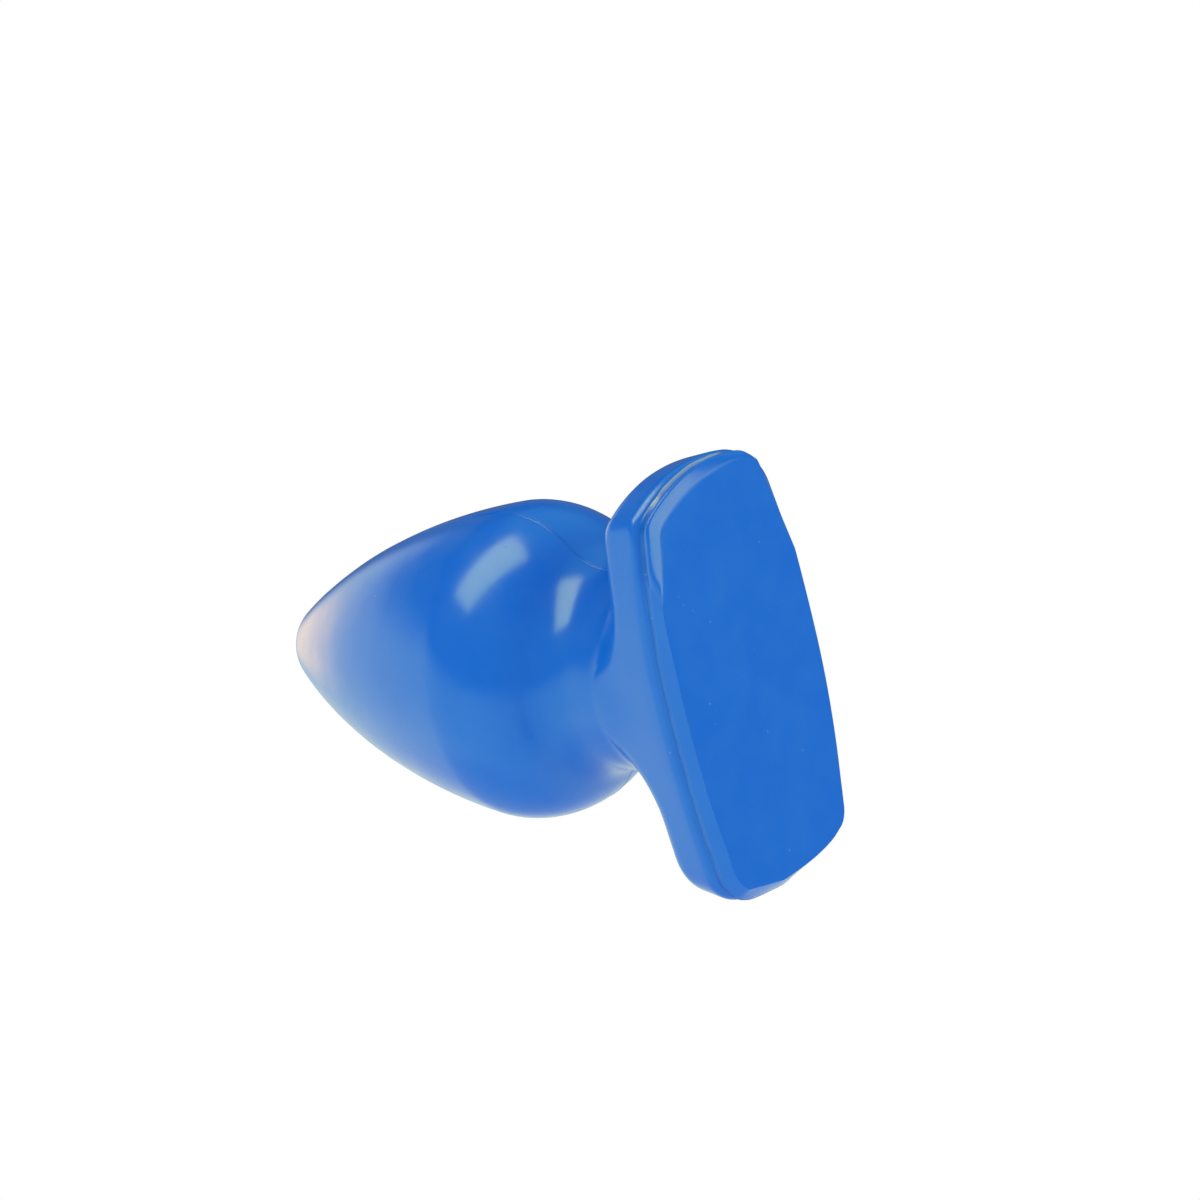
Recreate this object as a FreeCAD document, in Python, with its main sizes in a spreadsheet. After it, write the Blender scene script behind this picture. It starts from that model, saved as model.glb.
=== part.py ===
import FreeCAD, Part
import math
import os

import Sketcher
from FreeCAD import Rotation, Vector

# A flared-base plug, poured in one piece from soft PVC: a blunt egg-shaped bulb on a short
# round neck, which flares out into a thick base plate with bowed sides and round corners.
#
# Millimetres. The origin is the centre of the flat back face that the plug stands on,
# +Z runs along the axis to the tip and X runs along the base's long direction.

SIZES = [
    ("overall_length", 122.0, "back face to tip"),
    ("bulb_diameter", 65.0, "widest part of the bulb"),
    ("belly_height", 54.6, "back face to the widest part of the bulb"),
    ("belly_front_radius", 14.0, "profile radius of the belly on the tip side"),
    ("belly_rear_radius", 21.2, "profile radius of the belly on the neck side"),
    ("flank_radius", 149.2, "profile radius of the long flank"),
    ("tip_radius", 10.7, "radius of the round tip"),
    ("neck_diameter", 41.3, "narrowest part of the neck"),
    ("neck_hollow_radius", 11.7, "hollow between the neck and the bulb"),
    ("root_hollow_radius", 10.4, "hollow between the neck and the base"),
    ("base_length", 89.0, "base plate along X"),
    ("base_width", 45.8, "base plate along Y"),
    ("side_bow_radius", 165.0, "bow of the two long sides"),
    ("end_bow_radius", 50.0, "bow of the two short ends"),
    ("corner_radius", 8.5, "four corners of the base"),
    ("flange_radius", 56.0, "round flange that the base is cut from"),
    ("flange_thickness", 13.3, "flange at its rim"),
    ("front_slope", 1.0, "degrees that the base's front rises towards the neck"),
    ("front_round", 3.0, "round of the base's front edge"),
    ("bevel_width", 1.6, "trimmed bevel of the back edge, across the back face"),
    ("bevel_depth", 3.4, "trimmed bevel of the back edge, along the axis"),
    ("seam_height", 4.0, "back face to the middle of the rim's mould seam"),
    ("seam_width", 0.6, "rim's mould seam, along the axis"),
    ("seam_rise", 0.25, "how far the rim's mould seam stands out"),
]

NODE = "plug_body"
START, END, CENTRE = 1, 2, 3
ORIGIN, X_AXIS, Y_AXIS = (-1, 1), -1, -2
CUTTER_MARGIN = 6.0     # how far the trimming ring reaches past the revolved flange


def make_sheet(doc):
    """Put every driving dimension into a spreadsheet cell with its name as the alias."""
    sheet = doc.addObject("Spreadsheet::Sheet", "Sizes")
    for row, (alias, value, meaning) in enumerate(SIZES, start=1):
        sheet.set(f"A{row}", meaning)
        sheet.set(f"B{row}", str(value))
        sheet.setAlias(f"B{row}", alias)
    doc.recompute()
    return sheet


def origin_plane(body, role):
    return next(f for f in body.Origin.OriginFeatures if f.Role == role)


def new_sketch(body, name, role):
    sketch = body.newObject("Sketcher::SketchObject", name)
    sketch.AttachmentSupport = [(origin_plane(body, role), "")]
    sketch.MapMode = "FlatFace"
    return sketch


def arc(centre, radius, start, end):
    circle = Part.Circle(Vector(*centre, 0), Vector(0, 0, 1), radius)
    return Part.ArcOfCircle(circle, start, end)


def line(start, end):
    return Part.LineSegment(Vector(*start, 0), Vector(*end, 0))


def bind(sketch, kind, refs, value, expression):
    """Add one driving dimension and bind it to the sheet."""
    index = sketch.addConstraint(Sketcher.Constraint(kind, *refs, value))
    sketch.setExpression(f"Constraints[{index}]", expression)


def tangent_centre(centre_a, reach_a, centre_b, reach_b, side):
    """Centre at the given distances from two others, on the side that scores highest."""
    ax, ay = centre_a
    dx, dy = centre_b[0] - ax, centre_b[1] - ay
    gap = math.hypot(dx, dy)
    along = (reach_a ** 2 - reach_b ** 2 + gap ** 2) / (2 * gap)
    across = math.sqrt(reach_a ** 2 - along ** 2)
    ux, uy = dx / gap, dy / gap
    options = [(ax + ux * along - s * uy * across, ay + uy * along + s * ux * across)
               for s in (1, -1)]
    return max(options, key=side)


def bearing(origin, target):
    return math.atan2(target[1] - origin[1], target[0] - origin[0])


def sketch_profile(body, sheet):
    """Half section of bulb, neck and flange: sketch x is the radius, sketch y is Z."""
    bulb = sheet.bulb_diameter / 2
    neck = sheet.neck_diameter / 2
    slope = math.radians(sheet.front_slope)
    root, hollow = sheet.root_hollow_radius, sheet.neck_hollow_radius
    rear, front = sheet.belly_rear_radius, sheet.belly_front_radius
    flank, tip = sheet.flank_radius, sheet.tip_radius
    length, belly = sheet.overall_length, sheet.belly_height
    flange, edge = sheet.flange_radius, sheet.flange_thickness

    root_c = (neck + root,
              edge + math.tan(slope) * (flange - neck - root) + root / math.cos(slope))
    rear_c = (bulb - rear, belly)
    front_c = (bulb - front, belly)
    hollow_x = neck + hollow
    hollow_c = (hollow_x, belly - math.sqrt((rear + hollow) ** 2 - (hollow_x - rear_c[0]) ** 2))
    tip_c = (0.0, length - tip)
    flank_c = tangent_centre(front_c, flank - front, tip_c, flank - tip,
                             side=lambda centre: -centre[0])
    root_end = (root_c[0] - root * math.sin(slope), root_c[1] - root * math.cos(slope))
    to_rear = bearing(hollow_c, rear_c)
    to_front = bearing(flank_c, front_c)
    to_tip = bearing(flank_c, tip_c)

    sketch = new_sketch(body, "ProfileSketch", "XZ_Plane")
    floor, rim, cone, root_arc, shaft, hollow_arc, rear_arc, front_arc, flank_arc, tip_arc, axis = \
        sketch.addGeometry([
            line((0, 0), (flange, 0)),
            line((flange, 0), (flange, edge)),
            line((flange, edge), root_end),
            arc(root_c, root, math.pi, 1.5 * math.pi - slope),
            line((neck, root_c[1]), (neck, hollow_c[1])),
            arc(hollow_c, hollow, to_rear, math.pi),
            arc(rear_c, rear, to_rear - math.pi, 0.0),
            arc(front_c, front, 0.0, to_front),
            arc(flank_c, flank, to_front, to_tip),
            arc(tip_c, tip, to_tip, math.pi / 2),
            line((0, length), (0, 0)),
        ])
    for first, second in [((floor, END), (rim, START)), ((rim, END), (cone, START)),
                          ((tip_arc, END), (axis, START)), ((axis, END), (floor, START)),
                          ((floor, START), ORIGIN)]:
        sketch.addConstraint(Sketcher.Constraint("Coincident", *first, *second))
    for first, second in [((cone, END), (root_arc, END)), ((root_arc, START), (shaft, START)),
                          ((shaft, END), (hollow_arc, END)),
                          ((hollow_arc, START), (rear_arc, START)),
                          ((rear_arc, END), (front_arc, START)),
                          ((front_arc, END), (flank_arc, START)),
                          ((flank_arc, END), (tip_arc, START))]:
        sketch.addConstraint(Sketcher.Constraint("Tangent", *first, *second))
    sketch.addConstraint([
        Sketcher.Constraint("Horizontal", floor),
        Sketcher.Constraint("Vertical", rim),
        Sketcher.Constraint("Vertical", shaft),
        Sketcher.Constraint("Horizontal", front_arc, CENTRE, front_arc, START),
        Sketcher.Constraint("PointOnObject", axis, START, Y_AXIS),
        Sketcher.Constraint("PointOnObject", tip_arc, CENTRE, Y_AXIS),
    ])
    bind(sketch, "DistanceX", (*ORIGIN, rim, START), flange, "Sizes.flange_radius")
    bind(sketch, "DistanceY", (rim, START, rim, END), edge, "Sizes.flange_thickness")
    bind(sketch, "Angle", (cone,), math.pi - slope, "180 deg - Sizes.front_slope * 1 deg")
    bind(sketch, "DistanceX", (*ORIGIN, shaft, START), neck, "Sizes.neck_diameter / 2")
    bind(sketch, "DistanceX", (*ORIGIN, front_arc, START), bulb, "Sizes.bulb_diameter / 2")
    bind(sketch, "DistanceY", (*ORIGIN, front_arc, CENTRE), belly, "Sizes.belly_height")
    bind(sketch, "DistanceY", (*ORIGIN, tip_arc, END), length, "Sizes.overall_length")
    for piece, size in [(root_arc, "root_hollow_radius"), (hollow_arc, "neck_hollow_radius"),
                        (rear_arc, "belly_rear_radius"), (front_arc, "belly_front_radius"),
                        (flank_arc, "flank_radius"), (tip_arc, "tip_radius")]:
        bind(sketch, "Radius", (piece,), getattr(sheet, size), f"Sizes.{size}")
    return sketch


def draw_outline(sketch, sheet, grow="0"):
    """Barrel-shaped base outline of eight tangent arcs, let out all round by `grow`."""
    extra = 0.0 if grow == "0" else getattr(sheet, grow)
    more = "" if grow == "0" else f" + Sizes.{grow}"
    half_x, half_y = sheet.base_length / 2 + extra, sheet.base_width / 2 + extra
    side, end = sheet.side_bow_radius + extra, sheet.end_bow_radius + extra
    corner = sheet.corner_radius + extra
    side_c, end_c = (0.0, half_y - side), (half_x - end, 0.0)
    corner_c = tangent_centre(side_c, side - corner, end_c, end - corner, side=sum)
    a_end, a_side = bearing(end_c, corner_c), bearing(side_c, corner_c)

    quarter = [(end_c, end, -a_end, a_end), (corner_c, corner, a_end, a_side),
               (side_c, side, a_side, math.pi - a_side),
               ((-corner_c[0], corner_c[1]), corner, math.pi - a_side, math.pi - a_end)]
    half_turn = [((-c[0], -c[1]), radius, start + math.pi, stop + math.pi)
                 for c, radius, start, stop in quarter]
    arcs = sketch.addGeometry([arc(*spec) for spec in quarter + half_turn])
    for first, second in zip(arcs, arcs[1:] + arcs[:1]):
        sketch.addConstraint(Sketcher.Constraint("Tangent", first, END, second, START))
    ends, corners, sides = arcs[0::4], arcs[1::2], arcs[2::4]
    for same in (ends, corners, sides):
        for other in same[1:]:
            sketch.addConstraint(Sketcher.Constraint("Equal", same[0], other))
        for piece in same if same is not corners else ():
            axis = X_AXIS if same is ends else Y_AXIS
            sketch.addConstraint(Sketcher.Constraint("PointOnObject", piece, CENTRE, axis))
    bind(sketch, "Radius", (ends[0],), end, "Sizes.end_bow_radius" + more)
    bind(sketch, "Radius", (sides[0],), side, "Sizes.side_bow_radius" + more)
    bind(sketch, "Radius", (corners[0],), corner, "Sizes.corner_radius" + more)
    half_x_text, half_y_text = "Sizes.base_length / 2", "Sizes.base_width / 2"
    for near, far, kind, radius, half, text in [
            (ends[0], ends[1], "DistanceX", "Sizes.end_bow_radius", end - half_x, half_x_text),
            (sides[0], sides[1], "DistanceY", "Sizes.side_bow_radius", side - half_y, half_y_text)]:
        bind(sketch, kind, (near, CENTRE, *ORIGIN), half, f"{radius} - {text}")
        bind(sketch, kind, (*ORIGIN, far, CENTRE), half, f"{radius} - {text}")


def edges_of(shape, wanted):
    return [f"Edge{i}" for i, edge in enumerate(shape.Edges, start=1) if wanted(edge)]


def check(doc):
    for obj in doc.Objects:
        if "Invalid" in obj.State or "Error" in obj.State:
            raise RuntimeError(f"{obj.Name} did not recompute: {obj.State}")


def build_plug(doc, sheet):
    body = doc.addObject("PartDesign::Body", "PlugBody")
    body.Label = NODE
    body.Placement = FreeCAD.Placement(Vector(0, 0, 0), Rotation())

    # Bulb, neck and a round flange that reaches past the base's corners, in one turn.
    turned = body.newObject("PartDesign::Revolution", "BulbAndFlange")
    turned.Profile = sketch_profile(body, sheet)
    turned.ReferenceAxis = (turned.Profile[0], ["V_Axis"])
    turned.Angle = 360.0
    doc.recompute()
    turned_volume = turned.Shape.Volume

    # A ring with a barrel-shaped hole trims the flange to the base's outline, up to the neck.
    ring = new_sketch(body, "OutlineSketch", "XY_Plane")
    draw_outline(ring, sheet)
    reach = sheet.flange_radius + CUTTER_MARGIN
    circle = ring.addGeometry(Part.Circle(Vector(0, 0, 0), Vector(0, 0, 1), reach))
    ring.addConstraint(Sketcher.Constraint("Coincident", circle, CENTRE, *ORIGIN))
    bind(ring, "Radius", (circle,), reach, f"Sizes.flange_radius + {CUTTER_MARGIN}")
    trim = body.newObject("PartDesign::Pocket", "TrimToOutline")
    trim.Profile = ring
    trim.Reversed = True
    trim.setExpression("Length", "Sizes.flange_thickness + Sizes.root_hollow_radius + 4")
    doc.recompute()
    if trim.Shape.Volume > 0.95 * turned_volume:
        raise RuntimeError("the outline ring did not cut the flange")

    # The back edge is trimmed to a bevel.
    bevel = body.newObject("PartDesign::Chamfer", "BackBevel")
    on_floor = edges_of(trim.Shape, lambda edge: edge.BoundBox.ZMax < 0.001)
    bevel.Base = (trim, on_floor)
    bevel.ChamferType = "Two distances"
    bevel.setExpression("Size", "Sizes.bevel_width")
    bevel.setExpression("Size2", "Sizes.bevel_depth")
    doc.recompute()

    # The front edge is rounded all the way round, over the ends and past the neck.
    front = body.newObject("PartDesign::Fillet", "FrontRound")
    low = 0.8 * sheet.flange_thickness
    neck = sheet.neck_diameter / 2

    def on_front_edge(edge):
        box = edge.BoundBox
        middle = edge.valueAt((edge.FirstParameter + edge.LastParameter) / 2)
        level = box.ZMax < sheet.flange_thickness + sheet.root_hollow_radius
        return box.ZMin > low and level and math.hypot(middle.x, middle.y) > 1.15 * neck \
            and is_wall_edge(bevel.Shape, edge)

    front.Base = (bevel, edges_of(bevel.Shape, on_front_edge))
    front.setExpression("Radius", "Sizes.front_round")
    doc.recompute()

    # Fine raised seam that the two mould halves leave round the rim.
    seam_sketch = new_sketch(body, "SeamSketch", "XY_Plane")
    seam_sketch.setExpression("AttachmentOffset.Base.z", "Sizes.seam_height - Sizes.seam_width / 2")
    draw_outline(seam_sketch, sheet, grow="seam_rise")
    seam = body.newObject("PartDesign::Pad", "RimSeam")
    seam.Profile = seam_sketch
    seam.setExpression("Length", "Sizes.seam_width")
    doc.recompute()
    if seam.Shape.Volume <= front.Shape.Volume:
        raise RuntimeError("the rim seam added nothing")
    body.Tip = seam
    doc.recompute()
    return body


def is_wall_edge(shape, edge):
    """True where the edge borders one of the base's upright walls."""
    for face in shape.ancestorsOfType(edge, Part.Face):
        surface = face.Surface
        if isinstance(surface, Part.Cylinder) and abs(surface.Axis.z) > 0.999:
            if math.hypot(surface.Center.x, surface.Center.y) > 1.0:
                return True
    return False


def main():
    doc = FreeCAD.newDocument("FlaredPlug")
    sheet = make_sheet(doc)
    bodies = [build_plug(doc, sheet)]
    check(doc)
    for body in bodies:
        if body.Shape.isNull() or not body.Shape.isValid() or len(body.Shape.Solids) != 1:
            raise RuntimeError(f"{body.Label} is not one valid solid")
    os.makedirs("parts", exist_ok=True)
    for body in bodies:
        body.Shape.exportStep(f"parts/{body.Label}.step")
        box = body.Shape.BoundBox
        print(body.Label, [round(v, 2) for v in (box.XLength, box.YLength, box.ZLength)],
              "mm, volume", round(body.Shape.Volume / 1000, 1), "cm3")


main()
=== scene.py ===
import math

import bpy
import numpy as np
from mathutils import Matrix, Vector


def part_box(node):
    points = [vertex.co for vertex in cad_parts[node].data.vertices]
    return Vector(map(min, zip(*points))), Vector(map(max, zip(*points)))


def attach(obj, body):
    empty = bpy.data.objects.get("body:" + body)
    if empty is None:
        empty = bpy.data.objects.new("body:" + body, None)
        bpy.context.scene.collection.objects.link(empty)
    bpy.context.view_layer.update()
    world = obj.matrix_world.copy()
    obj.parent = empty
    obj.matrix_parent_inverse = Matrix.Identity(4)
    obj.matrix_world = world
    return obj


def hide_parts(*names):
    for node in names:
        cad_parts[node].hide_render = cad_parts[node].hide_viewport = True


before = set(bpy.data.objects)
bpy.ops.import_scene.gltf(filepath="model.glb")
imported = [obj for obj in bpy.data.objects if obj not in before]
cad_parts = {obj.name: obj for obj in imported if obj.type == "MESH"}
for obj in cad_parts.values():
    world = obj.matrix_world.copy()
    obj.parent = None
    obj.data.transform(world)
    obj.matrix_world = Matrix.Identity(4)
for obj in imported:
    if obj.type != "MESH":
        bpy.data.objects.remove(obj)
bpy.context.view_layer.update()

# One soft-vinyl casting: bulb, neck and base plate in a single closed skin. Its place and main
# sizes are worked out from the CAD node's box. Lengths are metres unless a name ends in _R, which
# means "in bulb radii", or in _MM.

NODE = "plug_body"
low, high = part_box(NODE)
BULB = high.y                       # bulb radius: the bulb is the widest thing across Y
LENGTH = high.z
SEAM_RISE = 0.00025                 # the rim's mould seam, the outermost thing along X
HALF_X = high.x - SEAM_RISE
MM = 0.001

# ------------------------------------------------------------------ proportions of the casting

BELLY_HEIGHT_R = 1.681
BELLY_FRONT_R = 0.430
BELLY_REAR_R = 0.651
FLANK_R = 4.592
TIP_R = 0.328
NECK_R = 0.635
NECK_HOLLOW_R = 0.360
ROOT_HOLLOW_R = 0.320
HALF_WIDTH_R = 0.705
FLANGE_R = 1.723
FLANGE_THICKNESS_R = 0.408
FRONT_SLOPE = math.radians(1.0)
WALL_DRAFT = math.radians(12.0)     # the wall leans in towards the front
FRONT_ROUND_R = 0.085

# The casting is not quite even, so each quarter of the rim's outline bows a little differently:
# (share of the half length, side bow, end bow, corner), counted from +X towards +Y.
QUARTERS_R = ((0.972, 12.3, 1.335, 0.390),
              (1.000, 5.34, 1.460, 0.180),
              (1.000, 9.20, 1.600, 0.340),
              (0.972, 4.40, 1.080, 0.150))

# Knife cuts that trimmed the back face: (bearing in degrees, distance from the axis)
KNIFE_CUTS_R = ((76.8, 0.752), (197.6, 1.285), (169.8, 1.338), (158.2, 1.336))
LEAST_FACING = 0.2                  # a cut only reaches columns that face it at least this much


def arc(centre, radius, start, stop, count):
    angles = np.linspace(start, stop, count)
    return np.stack([centre[0] + radius * np.cos(angles), centre[1] + radius * np.sin(angles)], 1)


def tangent_centre(centre_a, reach_a, centre_b, reach_b, score):
    """Centre at the given distances from two others, on the side that scores highest."""
    a, b = np.array(centre_a), np.array(centre_b)
    gap = np.linalg.norm(b - a)
    along = (reach_a ** 2 - reach_b ** 2 + gap ** 2) / (2 * gap)
    across = math.sqrt(reach_a ** 2 - along ** 2)
    unit = (b - a) / gap
    normal = np.array([-unit[1], unit[0]])
    return max((a + unit * along + side * normal * across for side in (1, -1)), key=score)


def bearing(origin, target):
    return math.atan2(target[1] - origin[1], target[0] - origin[0])


def bulb_profile(per_arc=400):
    """(radius, height) points from the neck's narrowest ring to the tip, as tangent arcs."""
    neck, hollow, rear, front = (BULB * v for v in (NECK_R, NECK_HOLLOW_R, BELLY_REAR_R, BELLY_FRONT_R))
    flank, tip, belly = FLANK_R * BULB, TIP_R * BULB, BELLY_HEIGHT_R * BULB
    rear_c, front_c = (BULB - rear, belly), (BULB - front, belly)
    hollow_x = neck + hollow
    hollow_c = (hollow_x, belly - math.sqrt((rear + hollow) ** 2 - (hollow_x - rear_c[0]) ** 2))
    tip_c = (0.0, LENGTH - tip)
    flank_c = tangent_centre(front_c, flank - front, tip_c, flank - tip, score=lambda c: -c[0])
    to_rear, to_front = bearing(hollow_c, rear_c), bearing(flank_c, front_c)
    to_tip = bearing(flank_c, tip_c)
    pieces = [arc(hollow_c, hollow, math.pi, to_rear, per_arc),
              arc(rear_c, rear, to_rear - math.pi, 0.0, per_arc),
              arc(front_c, front, 0.0, to_front, per_arc),
              arc(flank_c, flank, to_front, to_tip, per_arc),
              arc(tip_c, tip, to_tip, math.pi / 2, per_arc)]
    return np.vstack([pieces[0]] + [p[1:] for p in pieces[1:]])


def front_profile(count=600):
    """(radius, height) points of the base's front, from the neck's foot outwards."""
    neck, root = NECK_R * BULB, ROOT_HOLLOW_R * BULB
    reach, edge = FLANGE_R * BULB, FLANGE_THICKNESS_R * BULB
    height = edge + math.tan(FRONT_SLOPE) * (reach - neck - root) + root / math.cos(FRONT_SLOPE)
    hollow = arc((neck + root, height), root, math.pi, 1.5 * math.pi - FRONT_SLOPE, count)
    return np.vstack([hollow, [[reach, edge]]])


def resample(points, count):
    steps = np.hypot(*np.diff(points, axis=0).T)
    length = np.concatenate([[0.0], np.cumsum(steps)])
    at = np.linspace(0.0, length[-1], count)
    return np.stack([np.interp(at, length, points[:, i]) for i in (0, 1)], 1)


def quarter(half_x, half_y, side, end, corner, per_arc=160):
    """A quarter outline of three tangent arcs: bowed end, round corner, bowed side."""
    side_c, end_c = (0.0, half_y - side), (half_x - end, 0.0)
    corner_c = tangent_centre(side_c, side - corner, end_c, end - corner, score=sum)
    a_end, a_side = bearing(end_c, corner_c), bearing(side_c, corner_c)
    return np.vstack([arc(end_c, end, 0.0, a_end, per_arc),
                      arc(corner_c, corner, a_end, a_side, per_arc),
                      arc(side_c, side, a_side, math.pi / 2, per_arc)])


def barrel(grow):
    """The whole closed rim outline, grown outwards by a distance."""
    turns = []
    for share, side, end, corner in QUARTERS_R:
        turns.append(quarter(HALF_X * share + grow, HALF_WIDTH_R * BULB + grow,
                             side * BULB + grow, end * BULB + grow, corner * BULB + grow))
    return np.vstack([turns[0], (turns[1] * [-1, 1])[::-1], turns[2] * [-1, -1],
                      (turns[3] * [1, -1])[::-1]])


def polar(outline, angles):
    """Distance from the axis to a star-shaped outline at each angle."""
    around = np.unwrap(np.arctan2(outline[:, 1], outline[:, 0]))
    reach = np.hypot(outline[:, 0], outline[:, 1])
    around, keep = np.unique(around, return_index=True)
    reach = reach[keep]
    turn = 2 * math.pi
    return np.interp(np.mod(angles, turn), np.concatenate([around - turn, around, around + turn]),
                     np.tile(reach, 3))


def rim_outline(angles, grow):
    return polar(barrel(grow), angles)


# ------------------------------------------------------------------ columns and rows of the skin

BACK_RINGS = 9                      # rings across the flat back face
LIP_RINGS = 7                       # over the round past the ridges
WALL_RINGS = 8                      # up the wall
ROUND_RINGS = 9                     # over the front edge's round
FRONT_RINGS = 24                    # across the front face and up the neck's foot
BULB_RINGS = 95                     # from the neck's narrowest ring to the tip
NECK_SHARES = (0.33, 0.66)          # rings between those two, as shares of the gap
ROUND_WALL_SHARE = 0.45             # the most of the wall that the front edge's round may take
ROUND_FRONT_SHARE = 0.6             # and of the front face
SEAM_HALF = math.radians(0.9)       # stretch of columns packed closely over each mould seam
SEAM_COLUMNS = 19                   # columns in it
PLAIN_COLUMNS = 176                 # and from there to the other seam

# Cross-sections of the trimmed rim as (inset from the wall, height above the back face) in mm.
# The first is where the knife left a flat facet, the second where the poured vinyl kept its
# rounded brim. Both end just past the two fine ridges that the mould's lip left.
FACET_MM = ((2.84, 0.00), (2.80, 0.00), (2.77, 0.03), (2.08, 0.75), (1.60, 1.35), (1.13, 1.93),
            (0.66, 2.50), (0.80, 2.70), (0.60, 2.95), (0.76, 3.15), (0.83, 3.35), (0.88, 3.55))
BRIM_MM = ((3.40, 0.00), (2.35, 0.06), (2.05, 0.14), (0.35, 0.84), (0.08, 1.02), (0.00, 1.30),
           (0.05, 1.70), (0.85, 2.50), (0.34, 3.00), (0.62, 3.20), (0.77, 3.37), (0.88, 3.55))
# Inset of the back face's edge in mm at bearings in degrees: the knife didn't cut evenly.
EDGE_MM = ((-180, 2.6), (-155, 2.7), (-132, 2.0), (-100, 1.9), (-73, 1.9), (-57, 1.6), (-47, 1.1),
           (-40, 1.0), (-32, 3.1), (-20, 3.4), (0, 3.2), (17, 1.5), (163, 1.5), (180, 2.6))
EDGE_BLUR = (-3, -1.5, 0, 1.5, 3)   # bearings either side that it is averaged over
BRIM_START = -40.5                  # degrees where the knife cut runs out, at the back face's edge
BRIM_SKEW = 4.5                     # and how many degrees later at the ridges
BRIM_FADE = 1.5                     # degrees over which the brim takes over from the facet
BRIM_END = (16.0, 26.0)             # degrees where the brim gives way to the cut again
FIN_START = (-22.0, -16.0)          # degrees where the fin of flash fades in
FIN_END = (10.0, 16.0)              # and out
LIP_ROUND_MM = 2.3                  # round between the wall and the ridges
LIP_TURN = math.radians(52.0)
LIP_TOP_MM = 5.40                   # height where the wall stands out furthest
MERGE_MM = 1.2                      # how softly the wall runs into the neck
LIP_ROW = 6                         # the row of a section that stands out furthest at the cut
RIDGE_ROW = 8                       # the row on the outer ridge
SWAY_SHARES = (0.5, 1.0, 0.6, 0.3, 0.0)         # how much the rows past the lip waver along the rim
# That wavering, and more of it on the fin: ripples of (count round the axis, height in mm, phase).
SWAY_MM = ((23, 0.05, 0.4), (41, 0.04, 2.1), (67, 0.03, 4.0), (11, 0.07, 1.3))
FIN_SWAY_MM = ((29, 0.10, 1.0), (53, 0.07, 0.2), (17, 0.12, 2.5))
FIN_MM = 0.40                       # the ridge runs out into a thin fin of flash at the +X end
SEAM_LINE_MM = 0.17                 # how far the bulb's mould seam stands out at the +X side
SEAM_FAR_SHARE = 0.6                # and what share of that at the -X side
SEAM_WIDTH_MM = 0.15
SEAM_FADE_R = 0.35                  # length of neck over which it rises out of the surface
SEAM_FAINT_R = (1.75, 2.10)         # heights between which it fades towards the tip
SEAM_FAINT_LOSS = 0.8
SEAM_END_SHARE = 0.9                # share of the plug's length at which it ends
SEAM_STEP_MM = 0.18                 # mismatch of the two mould halves at the +X side
SEAM_STEP_FADE = (0.1, 0.8)         # radians from the seam over which the mismatch fades
LIP_OUT_MM = 0.55                   # the ridges stand further out round the -X end
LIP_OUT_COSINES = (0.85, 0.98)
TAG_MM = 0.34                       # and furthest at a small tag of flash
TAG_BEARING = math.radians(-176.5)
TAG_WIDTH = math.radians(4.0)


def column_angles():
    """Evenly spaced columns round the axis, packed closely over the two mould seams."""
    fine = np.linspace(-SEAM_HALF, SEAM_HALF, SEAM_COLUMNS)
    coarse = np.linspace(SEAM_HALF, math.pi - SEAM_HALF, PLAIN_COLUMNS + 2)[1:-1]
    half = np.concatenate([fine, coarse])
    return np.concatenate([half, half + math.pi])


def wrapped(angles):
    """The same angles between minus pi and pi."""
    return np.arctan2(np.sin(angles), np.cos(angles))


def wave(angles, terms):
    """Gentle unevenness round the axis: a sum of (count, amplitude, phase) ripples."""
    return sum(size * np.sin(count * angles + phase) for count, size, phase in terms)


def smooth_step(value, start, stop):
    t = np.clip((value - start) / (stop - start), 0.0, 1.0)
    return t * t * (3 - 2 * t)


def brim_share(angles, row):
    """1 where the rim kept its poured brim, near the +X end, and 0 where it was trimmed flat."""
    turn = np.degrees(wrapped(angles))
    start = BRIM_START + BRIM_SKEW * min(row, LIP_ROW) / LIP_ROW
    return smooth_step(turn, start, start + BRIM_FADE) * (1 - smooth_step(turn, *BRIM_END))


def fin_share(angles):
    """1 where the outer ridge is a thin fin of flash, round the +X end."""
    turn = np.degrees(wrapped(angles))
    return smooth_step(turn, *FIN_START) * (1 - smooth_step(turn, *FIN_END))


def edge_inset(angles):
    """How far the back face's edge lies inside the wall."""
    turn = np.degrees(wrapped(angles))
    bearings, insets = np.array(EDGE_MM).T
    return MM * np.mean([np.interp(turn + d, bearings, insets) for d in EDGE_BLUR], axis=0)


def trimmed(angles, reach):
    """The back face's edge, cut back by the knife."""
    for bearing_deg, distance in KNIFE_CUTS_R:
        facing = np.cos(angles - math.radians(bearing_deg))
        reach = np.minimum(reach, distance * BULB / np.maximum(facing, LEAST_FACING))
    return reach


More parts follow.
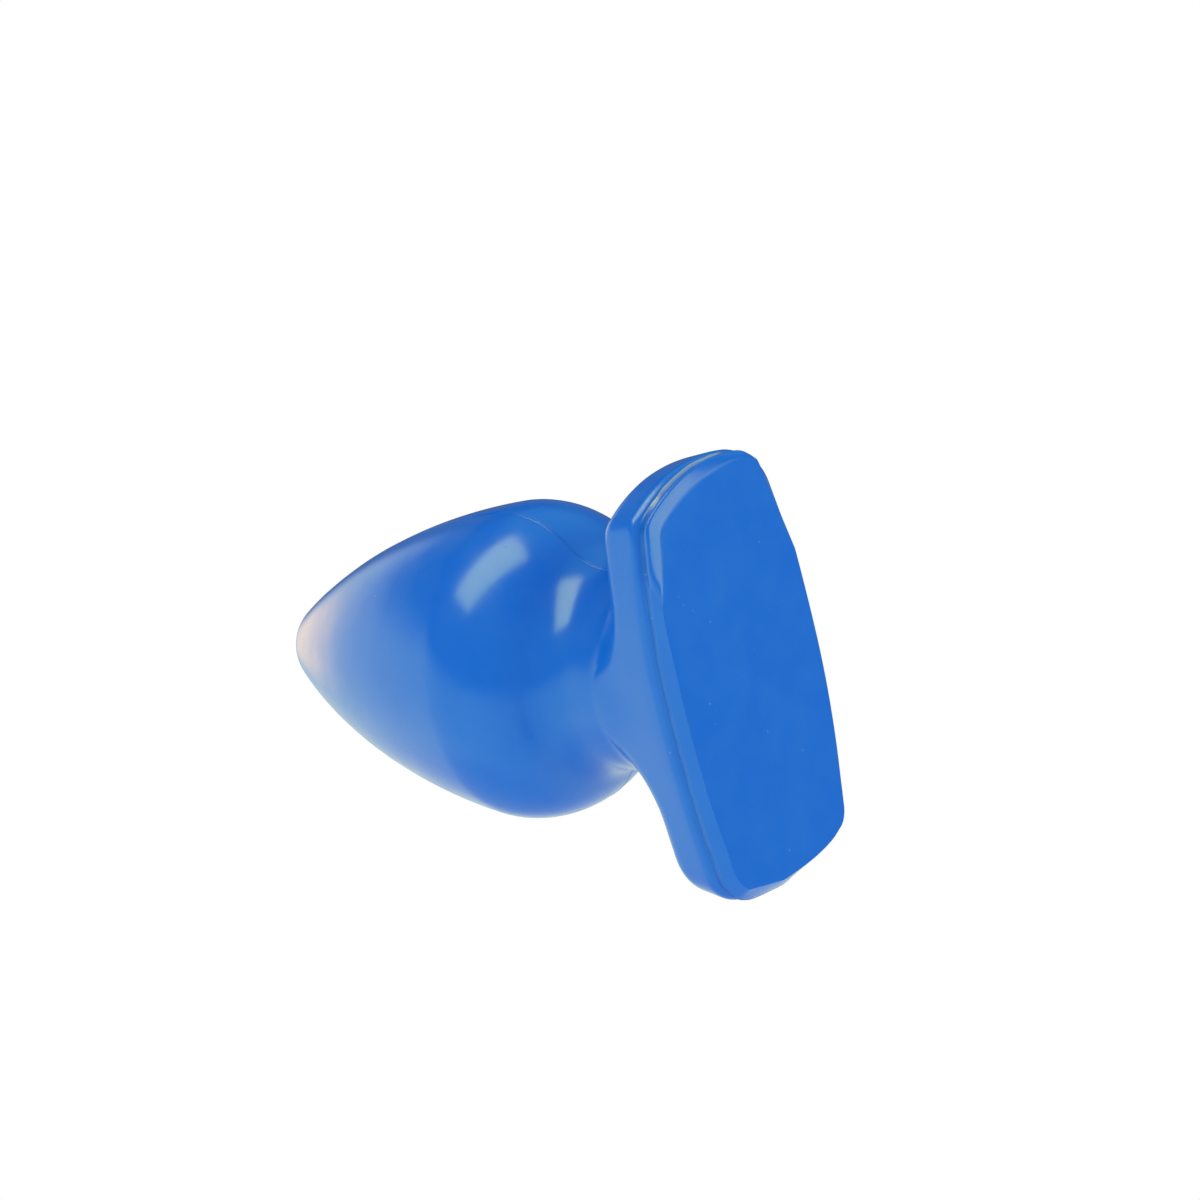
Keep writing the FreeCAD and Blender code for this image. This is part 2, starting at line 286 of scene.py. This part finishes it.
def base_rows(angles):
    """Rings of (x, y, z) from the middle of the back face, over the rim, to the neck."""
    rows = []
    cos, sin = np.cos(angles), np.sin(angles)

    def ring(reach, height):
        rows.append(np.stack([reach * cos, reach * sin, np.broadcast_to(height, reach.shape)], 1))

    brim = np.stack([brim_share(angles, row) for row in range(len(FACET_MM))])
    facet_mm, brim_mm = np.array(FACET_MM), np.array(BRIM_MM)
    section = facet_mm[:, :, None] * (1 - brim[:, None]) + brim_mm[:, :, None] * brim[:, None]
    inset, height = section[:, 0] * MM, section[:, 1] * MM
    lip_out = LIP_OUT_MM * MM * smooth_step(-cos, *LIP_OUT_COSINES)
    inset = inset - lip_out
    tag = TAG_MM * MM * np.exp(-((1 - np.cos(angles - TAG_BEARING)) / (1 - math.cos(TAG_WIDTH))))
    wall = rim_outline(angles, 0.0)
    slant = (wall - rim_outline(angles, -MM)) / MM          # radial inset per inset square to the wall
    fin = fin_share(angles)
    sway = wave(angles, SWAY_MM) * MM
    sway = sway + fin * wave(angles, FIN_SWAY_MM) * MM
    edge = wall - (edge_inset(angles) - lip_out) * slant
    lip = wall - inset[LIP_ROW] * slant
    first = trimmed(angles, edge)
    for share in np.linspace(0.0, 1.0, BACK_RINGS + 2)[1:-1]:
        ring(first * share, 0.0)
    for row in range(LIP_ROW + 1):
        part = (inset[0] - inset[row]) / (inset[0] - inset[LIP_ROW])
        ring(first + (lip - first) * part + tag * part, height[row])
    for past, share in enumerate(SWAY_SHARES, 1):
        row = LIP_ROW + past
        out = tag / (past + 1) + (FIN_MM * MM * fin if row == RIDGE_ROW else 0.0)
        ring(wall - inset[row] * slant + out, height[row] + sway * share)
    round_r = LIP_ROUND_MM * MM
    for turn in np.linspace(LIP_TURN, -WALL_DRAFT, LIP_RINGS):
        ring(wall - round_r * (1 - math.cos(turn)) * slant, LIP_TOP_MM * MM - round_r * math.sin(turn))

    foot = LIP_TOP_MM * MM + round_r * math.sin(WALL_DRAFT)
    neck = NECK_R * BULB
    start = wall - round_r * (1 - math.cos(WALL_DRAFT)) * slant

    def wall_reach(height):
        """The leaning wall, easing into the neck where it would otherwise cut it."""
        over = start - math.tan(WALL_DRAFT) * (height - foot) - neck
        return neck + 0.5 * (over + np.sqrt(over ** 2 + (MERGE_MM * MM) ** 2))

    front = front_profile()
    run = np.concatenate([[0.0], np.cumsum(np.hypot(*np.diff(front, axis=0).T))])
    beyond = front[:, 0, None] - wall_reach(front[:, 1, None])
    first_out = np.argmax(beyond > 0, axis=0)
    columns = np.arange(len(angles))
    inner, outer = beyond[first_out - 1, columns], beyond[first_out, columns]
    corner = run[first_out - 1] + (run[first_out] - run[first_out - 1]) * inner / (inner - outer)
    corner_r = np.interp(corner, run, front[:, 0])
    corner_z = np.interp(corner, run, front[:, 1])
    round_r = FRONT_ROUND_R * BULB
    low_z = corner_z - np.minimum(round_r, ROUND_WALL_SHARE * (corner_z - foot))
    low_r = wall_reach(low_z)
    top = corner - np.minimum(round_r, ROUND_FRONT_SHARE * corner)
    top_r, top_z = np.interp(top, run, front[:, 0]), np.interp(top, run, front[:, 1])
    for t in np.linspace(0, 1, WALL_RINGS + 2)[1:-1]:
        height = foot + (low_z - foot) * t
        ring(wall_reach(height), height)
    for t in np.linspace(0, 1, ROUND_RINGS):
        a, b, c = (1 - t) ** 2, 2 * t * (1 - t), t ** 2
        ring(a * low_r + b * corner_r + c * top_r, a * low_z + b * corner_z + c * top_z)
    for t in np.linspace(0, 1, FRONT_RINGS + 1)[1:]:
        here = top * (1 - t)
        ring(np.interp(here, run, front[:, 0]), np.interp(here, run, front[:, 1]))
    return rows


def seam_rise(angles, reach):
    """The bulb's mould seam: a fine raised line, with one half a little prouder at the +X side."""
    swing = wrapped(angles)
    rise = np.zeros(len(angles))
    for middle, height in ((0.0, SEAM_LINE_MM), (math.pi, SEAM_FAR_SHARE * SEAM_LINE_MM)):
        across = reach * wrapped(angles - middle)
        rise += height * MM * np.exp(-(across / (SEAM_WIDTH_MM * MM)) ** 2)
    step = np.tanh(swing * reach / (SEAM_WIDTH_MM * MM))
    step = step * (1 - smooth_step(np.abs(swing), *SEAM_STEP_FADE))
    return rise + 0.5 * SEAM_STEP_MM * MM * (step - np.abs(step))


def bulb_rows(angles):
    rows = []
    cos, sin = np.cos(angles), np.sin(angles)
    foot = front_profile()[0, 1]
    profile = bulb_profile()
    neck = [[profile[0, 0], foot + (profile[0, 1] - foot) * t] for t in NECK_SHARES]
    faint_from, faint_to = (BULB * v for v in SEAM_FAINT_R)
    for reach, height in neck + list(resample(profile, BULB_RINGS + 1)[:-1]):
        share = 0.0
        if height < LENGTH * SEAM_END_SHARE:
            share = 1 - SEAM_FAINT_LOSS * smooth_step(height, faint_from, faint_to)
        share *= smooth_step(height, foot, foot + SEAM_FADE_R * BULB)
        out = reach + share * seam_rise(angles, reach)
        rows.append(np.stack([out * cos, out * sin, np.full(len(angles), height)], 1))
    return rows


def make_skin():
    angles = column_angles()
    rows = base_rows(angles) + bulb_rows(angles)
    count = len(angles)
    verts = np.vstack([[[0.0, 0.0, 0.0]]] + rows + [[[0.0, 0.0, LENGTH]]])
    faces = []
    last = len(verts) - 1
    for i in range(count):
        j = (i + 1) % count
        faces.append((0, 1 + j, 1 + i))
        faces.append((last, last - count + i, last - count + j))
        for row in range(len(rows) - 1):
            a, b = 1 + row * count, 1 + (row + 1) * count
            faces.append((a + i, a + j, b + j, b + i))
    mesh = bpy.data.meshes.new("plug_skin")
    mesh.from_pydata([tuple(v) for v in verts], [], faces)
    mesh.validate()
    mesh.update()
    mesh.shade_smooth()
    # Painted highlight: the fin of flash on the ridge row is marked so that the material colours it
    # pale, standing for the glint it catches.
    painted_glint = np.zeros(len(verts))
    fin_row = 1 + (BACK_RINGS + RIDGE_ROW) * count
    painted_glint[fin_row:fin_row + count] = fin_share(angles)
    mesh.attributes.new("painted_glint", "FLOAT", "POINT").data.foreach_set("value", painted_glint)
    skin = bpy.data.objects.new("plug_skin", mesh)
    bpy.context.scene.collection.objects.link(skin)
    return skin


# ------------------------------------------------------------------ material

def node(tree, kind, **settings):
    item = tree.nodes.new("ShaderNode" + kind)
    for key, value in settings.items():
        setattr(item, key, value)
    return item


def mix_color(tree):
    """A colour mix node with its three sockets: factor, first and second colour, and result."""
    item = node(tree, "Mix", data_type="RGBA")
    colors = [s for s in item.inputs if s.type == "RGBA"]
    result = next(s for s in item.outputs if s.type == "RGBA")
    return item.inputs["Factor"], colors[0], colors[1], result


VINYL_BLUE = (0.0045, 0.146, 0.67, 1.0)
LIGHT_BLUE = (0.05, 0.30, 0.75, 1.0)
PALE_SPECK_AND_GLINT = (0.42, 0.60, 0.80, 1.0)            # pale specks, and a painted highlight on the fin of flash
GLOSS_TINT = (0.66, 1.0, 0.1, 1.0)              # matched to the photograph's warm highlights
VINYL_IOR = 1.5
ROUGHNESS = (0.19, 0.25)
CLOUDS_PER_M, CLOUD_SHARE = 70.0, 0.07          # scale and strength of the cloudy patches
CLOUD_SPAN = (0.35, 0.65)                       # span of the noise that is used
DULLER_PER_M = 160.0                            # scale of the patches of uneven gloss
DULLER_SPAN = (0.3, 0.7)
SPECKS_PER_M = 480.0
SPECK_EDGE = (0.05, 0.13)                       # a speck's radius, as shares of the cell size
SPECK_PICK = (0.90, 0.98)                       # few cells get one
SPECK_SHARE = 0.16                              # how pale specks are
PAINTED_GLINT_SHARE = 0.9                               # and how pale the fin of flash is painted, a painted highlight for its glint
SWELLS_PER_M, SWELL_MM = 85.0, 0.10             # scale and height of the fine unevenness
PEEL_PER_M, PEEL_MM = 900.0, 0.003
SPECK_MM = 0.03


def vinyl():
    """Glossy soft PVC: saturated blue with cloudy patches, shallow swells, tiny specks and a painted
    highlight on the fin of flash.
    """
    mat = bpy.data.materials.new("blue_vinyl")
    mat.use_nodes = True
    tree = mat.node_tree
    shader = tree.nodes["Principled BSDF"]
    shader.inputs["IOR"].default_value = VINYL_IOR
    shader.inputs["Specular Tint"].default_value = GLOSS_TINT
    where = node(tree, "TexCoord").outputs["Object"]

    def noise(per_metre, detail):
        item = node(tree, "TexNoise")
        tree.links.new(where, item.inputs["Vector"])
        item.inputs["Scale"].default_value = per_metre
        item.inputs["Detail"].default_value = detail
        return item.outputs["Fac"]

    def spread(value, start, stop, low, high):
        item = node(tree, "MapRange")
        tree.links.new(value, item.inputs["Value"])
        for key, number in (("From Min", start), ("From Max", stop), ("To Min", low), ("To Max", high)):
            item.inputs[key].default_value = number
        return item.outputs["Result"]

    def blend(share, first, second):
        factor, a, b, result = mix_color(tree)
        tree.links.new(share, factor)
        for slot, value in ((a, first), (b, second)):
            if isinstance(value, tuple):
                slot.default_value = value
            else:
                tree.links.new(value, slot)
        return result

    cells = node(tree, "TexVoronoi")
    tree.links.new(where, cells.inputs["Vector"])
    cells.inputs["Scale"].default_value = SPECKS_PER_M
    near = spread(cells.outputs["Distance"], *SPECK_EDGE, 1.0, 0.0)
    pick = node(tree, "SeparateColor")
    tree.links.new(cells.outputs["Color"], pick.inputs["Color"])
    few = spread(pick.outputs["Red"], *SPECK_PICK, 0.0, 1.0)
    speck = node(tree, "Math", operation="MULTIPLY")
    tree.links.new(near, speck.inputs[0])
    tree.links.new(few, speck.inputs[1])

    cloudy = spread(noise(CLOUDS_PER_M, 3.0), *CLOUD_SPAN, 0.0, CLOUD_SHARE)
    color = blend(cloudy, VINYL_BLUE, LIGHT_BLUE)
    color = blend(spread(speck.outputs[0], 0.0, 1.0, 0.0, SPECK_SHARE), color, PALE_SPECK_AND_GLINT)
    # Painted highlight: the marked fin of flash is coloured pale to stand for its glint.
    painted_glint_node = node(tree, "Attribute", attribute_name="painted_glint")
    color = blend(spread(painted_glint_node.outputs["Fac"], 0.0, 1.0, 0.0, PAINTED_GLINT_SHARE), color, PALE_SPECK_AND_GLINT)
    tree.links.new(color, shader.inputs["Base Color"])
    uneven = spread(noise(DULLER_PER_M, 2.0), *DULLER_SPAN, *ROUGHNESS)
    tree.links.new(uneven, shader.inputs["Roughness"])

    below = None
    for height, value in ((SWELL_MM, noise(SWELLS_PER_M, 1.5)), (PEEL_MM, noise(PEEL_PER_M, 2.0)),
                          (SPECK_MM, speck.outputs[0])):
        bump = node(tree, "Bump")
        bump.inputs["Distance"].default_value = height * MM
        tree.links.new(value, bump.inputs["Height"])
        if below:
            tree.links.new(below, bump.inputs["Normal"])
        below = bump.outputs["Normal"]
    tree.links.new(below, shader.inputs["Normal"])
    return mat


skin = make_skin()
skin.data.materials.append(vinyl())
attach(skin, "root")
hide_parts(NODE)

# ------------------------------------------------------------------ the table it lies on

LEAN = math.radians(14.25)          # how far the axis dips when it lies on base and bulb
UP = Vector((math.cos(LEAN), 0.0, -math.sin(LEAN)))
TABLE = min(v.co.dot(UP) for v in skin.data.vertices)

# ------------------------------------------------------------------ camera

CAMERA_BACK_R = 19.52       # distance along the view axis from the base's centre
CAMERA_RIGHT_R = 0.902      # how far right of the view axis the base's centre stands
CAMERA_DOWN_R = 0.437       # how far below the view axis
CAMERA_PITCH = 28.76        # degrees that the camera looks down at the table
CAMERA_HEADING = -39.19     # degrees from the base's short axis, round the table's normal
CAMERA_ROLL = 2.82
FOCAL = 98.7
SENSOR = 36.0


def make_camera():
    side = Vector((0.0, 1.0, 0.0))
    along = UP.cross(side)
    heading, pitch = math.radians(CAMERA_HEADING), math.radians(CAMERA_PITCH)
    level = side * math.cos(heading) - along * math.sin(heading)
    ahead = level * math.cos(pitch) - UP * math.sin(pitch)
    right = ahead.cross(UP).normalized()
    roll = Matrix.Rotation(math.radians(CAMERA_ROLL), 3, ahead)
    right = roll @ right
    down = ahead.cross(right)
    place = -(right * CAMERA_RIGHT_R + down * CAMERA_DOWN_R + ahead * CAMERA_BACK_R) * BULB
    data = bpy.data.cameras.new("camera")
    data.lens = FOCAL
    data.sensor_width = SENSOR
    camera = bpy.data.objects.new("camera", data)
    bpy.context.scene.collection.objects.link(camera)
    turn = Matrix((right, -down, -ahead)).transposed()
    camera.matrix_world = Matrix.Translation(place) @ turn.to_4x4()
    bpy.context.scene.camera = camera
    return camera


camera = make_camera()

# ------------------------------------------------------------------ table, floor and light

LOOK = -camera.matrix_world.col[2].xyz
AHEAD = (LOOK - UP * LOOK.dot(UP)).normalized()     # level with the table, away from the camera
RIGHT = AHEAD.cross(UP)
SPOT = UP * TABLE                                   # on the table, straight under the base


def table_point(right_mm, ahead_mm, up_mm=0.0):
    return SPOT + (RIGHT * right_mm + AHEAD * ahead_mm + UP * up_mm) * MM


def direction(heading_deg):
    """Level direction at a heading, in degrees to the right of straight ahead."""
    heading = math.radians(heading_deg)
    return AHEAD * math.cos(heading) + RIGHT * math.sin(heading)


FLOOR_REACH = 0.30
FLOOR_FADE = (0.1, 0.95)            # shares of the reach where the floor starts and ends its fade
FLOOR_Z = -0.0003
FLOOR_COLOR = (0.97, 0.97, 0.97, 1.0)

BOX_RIGHT_MM, BOX_AHEAD_MM, BOX_UP_MM = -295.0, 121.0, 640.0
BOX_LONG, BOX_WIDE, BOX_TURN = 0.69, 0.39, 28.0
BOX_POWER = 5.2
BOX_COLOR = (1.0, 0.88, 0.80)

# What the vinyl reflects. A light fades in over each pair of cosines: to its own axis, to UP for
# the table's horizon and the card's top, and to the direction square to the card for its sides.
AMBIENT = 0.98                      # radiance seen by diffuse light, the same all round
HORIZON = (0.21, -0.06)             # where the lit table starts
TABLE_GLOW = 0.98
TABLE_TINT = (1.0, 1.09, 1.0)
RIGHT_AXIS = RIGHT + AHEAD * 0.3
RIGHT_FADE = (0.04, -0.13)          # the table is darker towards the right
RIGHT_SHARE = 0.11                  # where this share of its light is left
DOWNWARD = (-0.30, -0.60)           # but not further down, as cosines to UP
UNDER_AXIS = UP * 0.98 + RIGHT * 0.2
UNDER = (-0.74, -0.96)              # right underneath it the table lies in the plug's own shade
UNDER_LOSS = 0.50
BROAD_AXIS = direction(-100.0)      # a wide, weak brighter side of the table
BROAD_FADE = (0.0, 0.7)
BROAD_GLOW = 0.32
BRIGHT_HEADING = -37.0              # degrees right of ahead where the table is brightest
BRIGHT_DROP = math.radians(19.0)    # and how far below the horizon
BRIGHT_AXIS = direction(BRIGHT_HEADING) * math.cos(BRIGHT_DROP) - UP * math.sin(BRIGHT_DROP)
BRIGHT_FADE = (0.955, 0.999)
BRIGHT_GLOW = 1.80
BRIGHT_TINT = (1.0, 0.48, 1.0)
CEILING_AXIS = (UP * 0.62 + AHEAD * 0.70 + RIGHT * 0.32).normalized()
CEILING_FADE = (0.80, 0.98)
CEILING_GLOW = 0.36
CEILING_TINT = (0.55, 1.65, 1.6)
CARD_HEADING = 112.0                # a tall white card behind and to the right of the camera
CARD_FRONT = (0.0, 0.1)
CARD_SIDES = (0.52, 0.43)
CARD_TOP = (0.74, 0.58)
CARD_FOOT_AXIS = UP * 0.8 - direction(CARD_HEADING - 52.0) * 0.6
CARD_FOOT = (-0.55, -0.42)
CARD_GLOW = 4.3
CARD_TINT = (1.27, 0.96, 0.5)
GLOSS_LIMIT = (9.0, 9.0, 0.76)      # bright reflections turn warm


def flat(name, corners):
    mesh = bpy.data.meshes.new(name)
    mesh.from_pydata([tuple(c) for c in corners], [], [tuple(range(len(corners)))])
    sheet = bpy.data.objects.new(name, mesh)
    bpy.context.scene.collection.objects.link(sheet)
    return sheet


def make_floor():
    """A pale floor under the plug as it stands, seen from above only and fading out all round."""
    reach = FLOOR_REACH
    floor = flat("floor", [(-reach, -reach, FLOOR_Z), (reach, -reach, FLOOR_Z),
                           (reach, reach, FLOOR_Z), (-reach, reach, FLOOR_Z)])
    mat = bpy.data.materials.new("pale_floor")
    mat.use_nodes = True
    tree = mat.node_tree
    tree.nodes.remove(tree.nodes["Principled BSDF"])
    paint = node(tree, "BsdfDiffuse")
    paint.inputs["Color"].default_value = FLOOR_COLOR
    gone = node(tree, "BsdfTransparent")
    where = node(tree, "TexCoord")
    length = node(tree, "VectorMath", operation="LENGTH")
    tree.links.new(where.outputs["Object"], length.inputs[0])
    fade = node(tree, "MapRange", interpolation_type="SMOOTHSTEP")
    tree.links.new(length.outputs["Value"], fade.inputs["Value"])
    for key, share in zip(("From Min", "From Max"), FLOOR_FADE):
        fade.inputs[key].default_value = share * reach
    side = node(tree, "NewGeometry")
    hidden = node(tree, "Math", operation="MAXIMUM")
    tree.links.new(fade.outputs["Result"], hidden.inputs[0])
    tree.links.new(side.outputs["Backfacing"], hidden.inputs[1])
    mix = node(tree, "MixShader")
    tree.links.new(hidden.outputs[0], mix.inputs["Fac"])
    tree.links.new(paint.outputs["BSDF"], mix.inputs[1])
    tree.links.new(gone.outputs["BSDF"], mix.inputs[2])
    tree.links.new(mix.outputs["Shader"], tree.nodes["Material Output"].inputs["Surface"])
    floor.data.materials.append(mat)
    floor.visible_diffuse = False
    floor.visible_glossy = False
    floor.visible_shadow = False


def make_softbox():
    data = bpy.data.lights.new("softbox", "AREA")
    data.shape = "RECTANGLE"
    data.size, data.size_y = BOX_LONG, BOX_WIDE
    data.energy = BOX_POWER
    data.color = BOX_COLOR
    box = bpy.data.objects.new("softbox", data)
    bpy.context.scene.collection.objects.link(box)
    place = table_point(BOX_RIGHT_MM, BOX_AHEAD_MM, BOX_UP_MM)
    turn = math.radians(BOX_TURN)
    long_axis = RIGHT * math.cos(turn) + AHEAD * math.sin(turn)
    box.matrix_world = (Matrix.Translation(place)
                        @ Matrix((long_axis, UP.cross(long_axis), UP)).transposed().to_4x4())
    box.visible_camera = False
    box.visible_diffuse = False


def make_world():
    """White to the camera, even to diffuse light, and to gloss a lit table in a dark studio."""
    world = bpy.data.worlds.new("world")
    bpy.context.scene.world = world
    world.use_nodes = True
    world.cycles.sampling_method = "NONE"
    tree = world.node_tree
    back = tree.nodes["Background"]
    where = node(tree, "TexCoord")
    path = node(tree, "LightPath")

    def math_node(kind, a, b):
        item = node(tree, "Math", operation=kind)
        for slot, value in zip(item.inputs, (a, b)):
            if isinstance(value, float):
                slot.default_value = value
            else:
                tree.links.new(value, slot)
        return item.outputs[0]

    def vector_node(kind, a, b):
        item = node(tree, "VectorMath", operation=kind)
        for slot, value in zip(item.inputs, (a, b)):
            if isinstance(value, tuple):
                slot.default_value = value
            else:
                tree.links.new(value, slot)
        return item.outputs["Vector"]

    def tinted(value, tint):
        item = node(tree, "VectorMath", operation="SCALE")
        item.inputs[0].default_value = tint
        tree.links.new(value, item.inputs["Scale"])
        return item.outputs["Vector"]

    def along(axis):
        item = node(tree, "VectorMath", operation="DOT_PRODUCT")
        tree.links.new(where.outputs["Generated"], item.inputs[0])
        item.inputs[1].default_value = axis
        return item.outputs["Value"]

    def ramp(value, start, stop):
        item = node(tree, "MapRange", interpolation_type="SMOOTHSTEP")
        tree.links.new(value, item.inputs["Value"])
        item.inputs["From Min"].default_value = start
        item.inputs["From Max"].default_value = stop
        return item.outputs["Result"]

    broad = math_node("MULTIPLY", ramp(along(BROAD_AXIS), *BROAD_FADE), BROAD_GLOW)
    narrow = math_node("MULTIPLY", ramp(along(BRIGHT_AXIS), *BRIGHT_FADE), BRIGHT_GLOW)
    lit = math_node("MAXIMUM", ramp(along(RIGHT_AXIS), *RIGHT_FADE), ramp(along(UP), *DOWNWARD))
    lit = math_node("MAXIMUM", lit, RIGHT_SHARE)
    under = math_node("MULTIPLY", ramp(along(UNDER_AXIS), *UNDER), UNDER_LOSS)
    share = math_node("MULTIPLY", lit, math_node("SUBTRACT", 1.0, under))
    share = math_node("MULTIPLY", share, ramp(along(UP), *HORIZON))
    table = math_node("MULTIPLY", math_node("ADD", broad, TABLE_GLOW), share)
    bright = math_node("MULTIPLY", narrow, share)
    ceiling = math_node("MULTIPLY", ramp(along(CEILING_AXIS), *CEILING_FADE), CEILING_GLOW)
    across = math_node("ABSOLUTE", along(direction(CARD_HEADING + 90.0)), 0.0)
    card = math_node("MULTIPLY", ramp(across, *CARD_SIDES), CARD_GLOW)
    for axis, limits in ((direction(CARD_HEADING), CARD_FRONT), (UP, CARD_TOP),
                         (CARD_FOOT_AXIS, CARD_FOOT)):
        card = math_node("MULTIPLY", card, ramp(along(axis), *limits))
    gloss = tinted(table, TABLE_TINT)
    for light, tint in ((bright, BRIGHT_TINT), (ceiling, CEILING_TINT), (card, CARD_TINT)):
        gloss = vector_node("ADD", gloss, tinted(light, tint))
    gloss = vector_node("MINIMUM", gloss, GLOSS_LIMIT)
    is_glossy, diffuse_side, glossy_side, indirect = mix_color(tree)
    tree.links.new(path.outputs["Is Glossy Ray"], is_glossy)
    diffuse_side.default_value = (AMBIENT, AMBIENT, AMBIENT, 1.0)
    tree.links.new(gloss, glossy_side)
    is_camera, other_side, camera_side, final = mix_color(tree)
    tree.links.new(path.outputs["Is Camera Ray"], is_camera)
    tree.links.new(indirect, other_side)
    camera_side.default_value = (1.0, 1.0, 1.0, 1.0)
    tree.links.new(final, back.inputs["Color"])


make_floor()
make_softbox()
make_world()
bpy.context.scene.view_settings.view_transform = "Standard"
